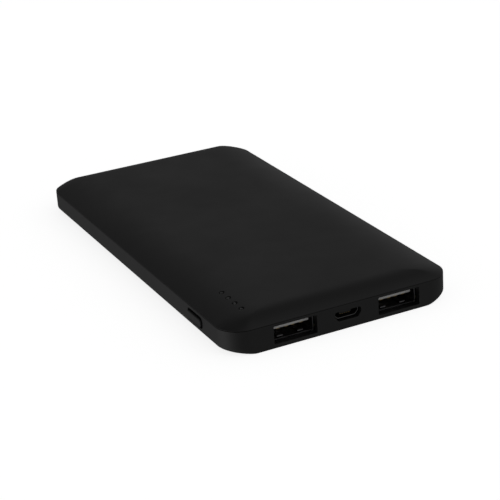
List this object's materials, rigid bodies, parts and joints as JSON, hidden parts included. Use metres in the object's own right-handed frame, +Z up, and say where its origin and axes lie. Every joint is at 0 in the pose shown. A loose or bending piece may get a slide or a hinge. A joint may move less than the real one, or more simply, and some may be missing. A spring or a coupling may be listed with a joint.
{
  "type": "power bank",
  "caption": "Slim portable battery with a crowned lid, a tray, two USB-A outlets, a micro-USB inlet, charge lights and a side power button.",
  "frame": {"origin": "middle of the flat underside of the tray", "axes": "+X across the bank, with the button on the -X side; +Y along the bank, away from the sockets; +Z up out of the lid"},
  "size_m": [0.0705, 0.136, 0.0104],
  "materials": {
    "case_black": "soft-touch matte black, fine even grain",
    "button_black": "soft-touch matte black",
    "socket_steel": "nickel-plated pressed sheet",
    "tongue_white": "moulded, satin",
    "contact_gold": "gold flash over copper alloy",
    "moulding_black": "moulded, satin",
    "board_green": "solder mask over glass laminate",
    "guide_clear": "clear moulded acrylic",
    "led_white": "pale encapsulant",
    "capacitor_tan": "fired ceramic with tinned ends",
    "ferrite_grey": "pressed ferrite",
    "pouch_foil": "satin laminate foil",
    "tab_nickel": "rolled nickel strip",
    "wire_red": "silicone insulation",
    "wire_black": "silicone insulation",
    "tape_amber": "polyimide film",
    "foam_black": "open-cell foam",
    "adhesive_white": "double-sided foam tape"
  },
  "bodies": {
    "case": {"adhesive_pad": "adhesive_white", "battery_lead_negative": "wire_black", "battery_lead_positive": "wire_red", "boost_inductor": "ferrite_grey", "bottom_cover": "case_black", "cell_protection_chip": "moulding_black", "cell_tab_negative": "tab_nickel", "cell_tab_positive": "tab_nickel", "ceramic_capacitor_1": "capacitor_tan", "ceramic_capacitor_2": "capacitor_tan", "ceramic_capacitor_3": "capacitor_tan", "ceramic_capacitor_4": "capacitor_tan", "charge_led_1": "led_white", "charge_led_2": "led_white", "charge_led_3": "led_white", "charge_led_4": "led_white", "chip_resistor_1": "moulding_black", "chip_resistor_2": "moulding_black", "chip_resistor_3": "moulding_black", "chip_resistor_4": "moulding_black", "circuit_board": "board_green", "foam_pad": "foam_black", "light_guide": "guide_clear", "micro_usb_contact_1": "contact_gold", "micro_usb_contact_2": "contact_gold", "micro_usb_contact_3": "contact_gold", "micro_usb_contact_4": "contact_gold", "micro_usb_contact_5": "contact_gold", "micro_usb_shell": "socket_steel", "micro_usb_tongue": "moulding_black", "pouch_cell": "pouch_foil", "power_control_chip": "moulding_black", "switch_dome": "socket_steel", "switch_housing": "moulding_black", "terrace_tape": "tape_amber", "top_cover": "case_black", "usb_a_left_contact_1": "contact_gold", "usb_a_left_contact_2": "contact_gold", "usb_a_left_contact_3": "contact_gold", "usb_a_left_contact_4": "contact_gold", "usb_a_left_shell": "socket_steel", "usb_a_left_tongue": "tongue_white", "usb_a_right_contact_1": "contact_gold", "usb_a_right_contact_2": "contact_gold", "usb_a_right_contact_3": "contact_gold", "usb_a_right_contact_4": "contact_gold", "usb_a_right_shell": "socket_steel", "usb_a_right_tongue": "tongue_white"},
    "button": {"power_button": "button_black"},
    "plunger": {"switch_plunger": "tongue_white"}
  },
  "joints": [
    {"name": "power_button_press", "type": "slide", "parent": "case", "child": "button", "axis": [1, 0, 0], "range_m": [0, 0.0003], "stiffness_N_per_m": 5000},
    {"name": "switch_plunger_press", "type": "slide", "parent": "case", "child": "plunger", "axis": [1, 0, 0], "range_m": [0, 0.0003]}
  ],
  "couplings": [
    {"joint": "switch_plunger_press", "follows": "power_button_press", "ratio": 1}
  ]
}
